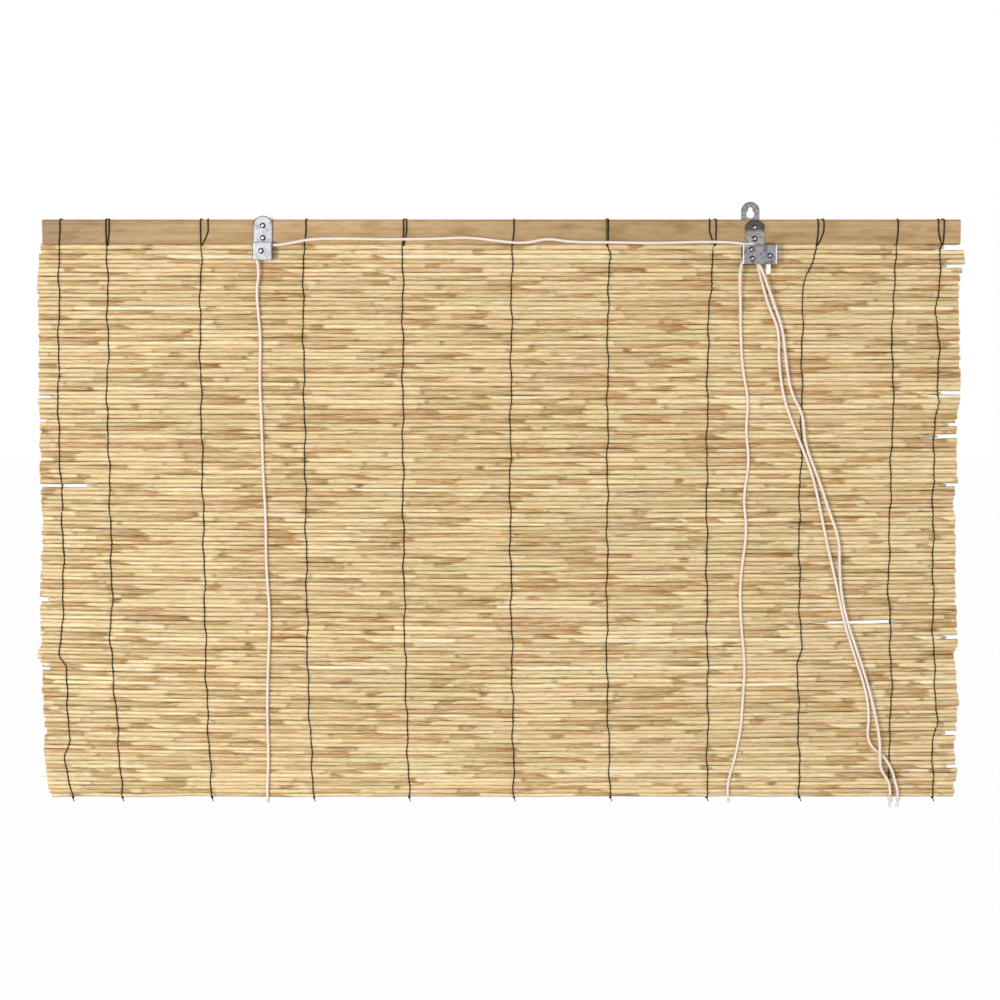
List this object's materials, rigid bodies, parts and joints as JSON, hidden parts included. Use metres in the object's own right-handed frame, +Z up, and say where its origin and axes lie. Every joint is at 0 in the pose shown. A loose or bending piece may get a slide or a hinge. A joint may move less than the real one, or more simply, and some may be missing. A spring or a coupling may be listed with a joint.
{
  "type": "bamboo roll-up blind",
  "caption": "Lowered roll-up blind of thin reeds under a split-bamboo head rail, with keyhole hangers, a corded pulley and a cam cord lock.",
  "frame": {"origin": "midway between the two keyhole hangers' round holes, on the wall plane behind the hangers", "axes": "+X to the right along the head rail, +Y towards the wall, +Z up; the blind hangs down -Z and faces -Y"},
  "size_m": [1.005, 0.0234, 0.6674],
  "materials": {
    "rail_bamboo": "planed split bamboo, satin",
    "reed": "natural straw-coloured reed, brown streaks",
    "twine": "dark green twisted twine",
    "hanger_steel": "zinc-plated sheet steel",
    "plate_steel": "zinc-plated sheet steel",
    "cover_steel": "zinc-plated pressed steel",
    "rivet_steel": "bright domed rivets",
    "brake_steel": "bright plated toothed cam",
    "pulley_nylon": "off-white nylon",
    "cord": "white braided cord"
  },
  "bodies": {
    "blind": {"anchor_knot_left": "cord", "anchor_knot_right": "cord", "binding_thread_1": "twine", "binding_thread_10": "twine", "binding_thread_11": "twine", "binding_thread_2": "twine", "binding_thread_3": "twine", "binding_thread_4": "twine", "binding_thread_5": "twine", "binding_thread_6": "twine", "binding_thread_7": "twine", "binding_thread_8": "twine", "binding_thread_9": "twine", "brake_axle_right": "rivet_steel", "hanger_plate_left": "hanger_steel", "hanger_plate_right": "hanger_steel", "head_rail": "rail_bamboo", "lift_cord_left": "cord", "lift_cord_right": "cord", "lock_cover_right": "cover_steel", "mounting_plate_left": "plate_steel", "mounting_plate_right": "plate_steel", "pull_knot_left": "cord", "pull_knot_right": "cord", "pulley_axle_left": "rivet_steel", "pulley_axle_right": "rivet_steel", "pulley_cover_left": "cover_steel", "rail_rivets_left": "rivet_steel", "rail_rivets_right": "rivet_steel", "reed_mat": "reed", "sheave_washer_right": "rivet_steel", "spacer_rivet_right": "rivet_steel"},
    "left_pulley": {"sheave_left": "pulley_nylon"},
    "right_back_pulley": {"sheave_right_back": "pulley_nylon"},
    "right_front_pulley": {"sheave_right_front": "pulley_nylon"},
    "brake": {"brake_cam": "brake_steel"}
  },
  "joints": [
    {"name": "left_pulley_spin", "type": "hinge", "parent": "blind", "child": "left_pulley", "pos_m": [-0.2677, -0.0133, -0.0413], "axis": [0, -1, 0], "continuous": true},
    {"name": "right_back_pulley_spin", "type": "hinge", "parent": "blind", "child": "right_back_pulley", "pos_m": [0.2628, -0.0133, -0.0405], "axis": [0, -1, 0], "continuous": true},
    {"name": "right_front_pulley_spin", "type": "hinge", "parent": "blind", "child": "right_front_pulley", "pos_m": [0.2628, -0.0187, -0.0405], "axis": [0, -1, 0], "continuous": true},
    {"name": "brake_swing", "type": "hinge", "parent": "blind", "child": "brake", "pos_m": [0.2831, -0.016, -0.047], "axis": [0, -1, 0], "range_deg": [0, 30]}
  ],
  "couplings": [
    {"joint": "left_pulley_spin", "follows": "right_back_pulley_spin", "ratio": 1}
  ]
}
